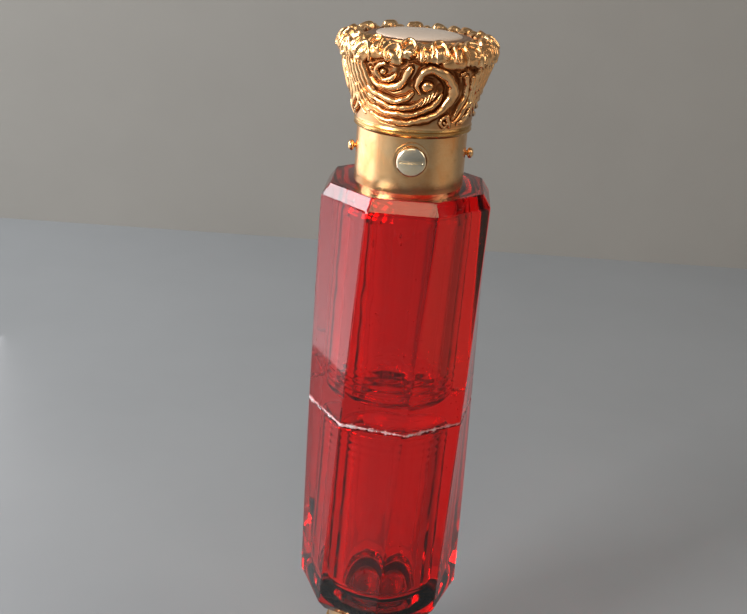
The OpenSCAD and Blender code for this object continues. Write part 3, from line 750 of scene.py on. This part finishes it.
# near-white gilt for the button: a painted highlight, so the dome looks bright all over
GILT_B = mat_gilt("gilt_pale_painted_highlight", (0.97, 0.90, 0.74), (0.93, 0.78, 0.50), (0.55, 0.36, 0.16), 0.2, 0.05)
btn = build_button()
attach(btn, "catch_button"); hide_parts("push_button")

def build_rivets():
    V, F = [], []
    zc = (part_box("spring_rivets")[0][2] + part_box("spring_rivets")[1][2]) / 2
    c = COL_R / MM
    for sg in (-1, 1):
        lathe((0, 0, zc), (sg, 0, 0), (0, 1, 0), [(c - 1.15, 0.0 + 0.45), (c - 1.05, 0.55), (c - 0.75, 0.6), (c - 0.66, 0.36), (c + 0.22, 0.36), (c + 0.30, 0.55), (c + 0.38, 0.72), (c + 0.55, 0.80), (c + 0.78, 0.78),
              (c + 0.98, 0.66), (c + 1.1, 0.46), (c + 1.16, 0.22)], V, F, 32)
    return mesh_obj("rivet_pair", V, F, GILT)
riv = build_rivets()
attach(riv, "bottle"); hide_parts("spring_rivets")

# dark brown gilt for the top bezel: painted shade, keeping the rim dark instead of catching the light
BEZ = mat_gilt("gilt_bezel_painted_shade", (0.50, 0.26, 0.11), (0.34, 0.14, 0.05), (0.10, 0.03, 0.012), 0.26, 0.1)
nodes["top_bezel"].data.materials.clear(); nodes["top_bezel"].data.materials.append(BEZ)

# ---------------------------------------------------------------- floor, wall and light
def stage():
    def plane(name, verts, col, rough):
        m, nt, p, out = new_mat(name)
        v = objc(nt)
        g = noise(nt, v, 14, 4, 0.6)
        nt.links.new(ramp(nt, g, [(0.3, tuple(c * 0.96 for c in col)), (0.7, tuple(min(c * 1.03, 1) for c in col))]), p.inputs["Base Color"])
        p.inputs["Roughness"].default_value = rough
        ob = mesh_obj(name, verts, [(0, 1, 2, 3)], m, False)
        return ob
    plane("floor", [(-3, -3, 0), (3, -3, 0), (3, 0.252, 0), (-3, 0.252, 0)], (0.315, 0.337, 0.357), 0.5)
    plane("wall", [(-3, 0.252, 0), (3, 0.252, 0), (3, 0.252, 3), (-3, 0.252, 3)], (0.335, 0.33, 0.312), 0.9)
stage()

def area(name, loc, target, size, power, color=(1, 1, 1), size_y=None):
    d = bpy.data.lights.new(name, "AREA")
    d.energy = power
    d.color = color
    d.shape = "RECTANGLE"
    d.size = size
    d.size_y = size_y or size
    ob = bpy.data.objects.new(name, d)
    scene.collection.objects.link(ob)
    ob.location = loc
    ob.rotation_mode = "QUATERNION"
    ob.rotation_quaternion = (Vector(loc) - Vector(target)).to_track_quat("Z", "Y")
    ob.visible_camera = False
    return ob

area("key_front_left", (-0.50, -0.36, 0.36), (0, 0, 0.07), 0.20, 2.7, (1.0, 0.975, 0.95), 0.20)
area("window_left", (-0.45, 0.09, 0.315), (0, 0, 0.09), 0.24, 1.7, (0.96, 0.97, 1.0), 0.20)
side = area("side_card", (-0.150, 0.045, 0.045), (0, 0, 0.06), 0.20, 0.155, (1.0, 0.95, 0.99), 0.16)
side.visible_transmission = False
side.visible_diffuse = False
gl = area("gold_card", (-0.20, -0.16, 0.17), (0, 0, 0.108), 0.11, 0.30, (1.0, 0.95, 0.88), 0.09)
gl.visible_transmission = False
gl.visible_diffuse = False
wr = area("warm_right_card", (0.16, -0.03, 0.055), (0, 0, 0.09), 0.16, 0.0115, (1.0, 0.66, 0.36), 0.13)
wr.visible_transmission = False
wr.visible_diffuse = False
bk = area("behind_glass", (-0.004, 0.046, 0.046), (-0.004, 0, 0.046), 0.11, 0.0043, (1.0, 1.0, 1.0), 0.10)
bk.visible_glossy = False
bk.visible_diffuse = False
area("front_warm", (-0.03, -0.36, 0.47), (0, 0, 0.095), 0.20, 0.55, (1.0, 0.72, 0.46))
area("right_fill", (0.50, -0.10, 0.40), (0, 0, 0.06), 0.25, 0.55, (1.0, 0.84, 0.66))

world = bpy.data.worlds.new("World")
scene.world = world
world.use_nodes = True
bg = world.node_tree.nodes["Background"]
bg.inputs[0].default_value = (0.62, 0.65, 0.68, 1)
bg.inputs[1].default_value = 0.28

scene.view_settings.view_transform = "Standard"
scene.view_settings.look = "None"
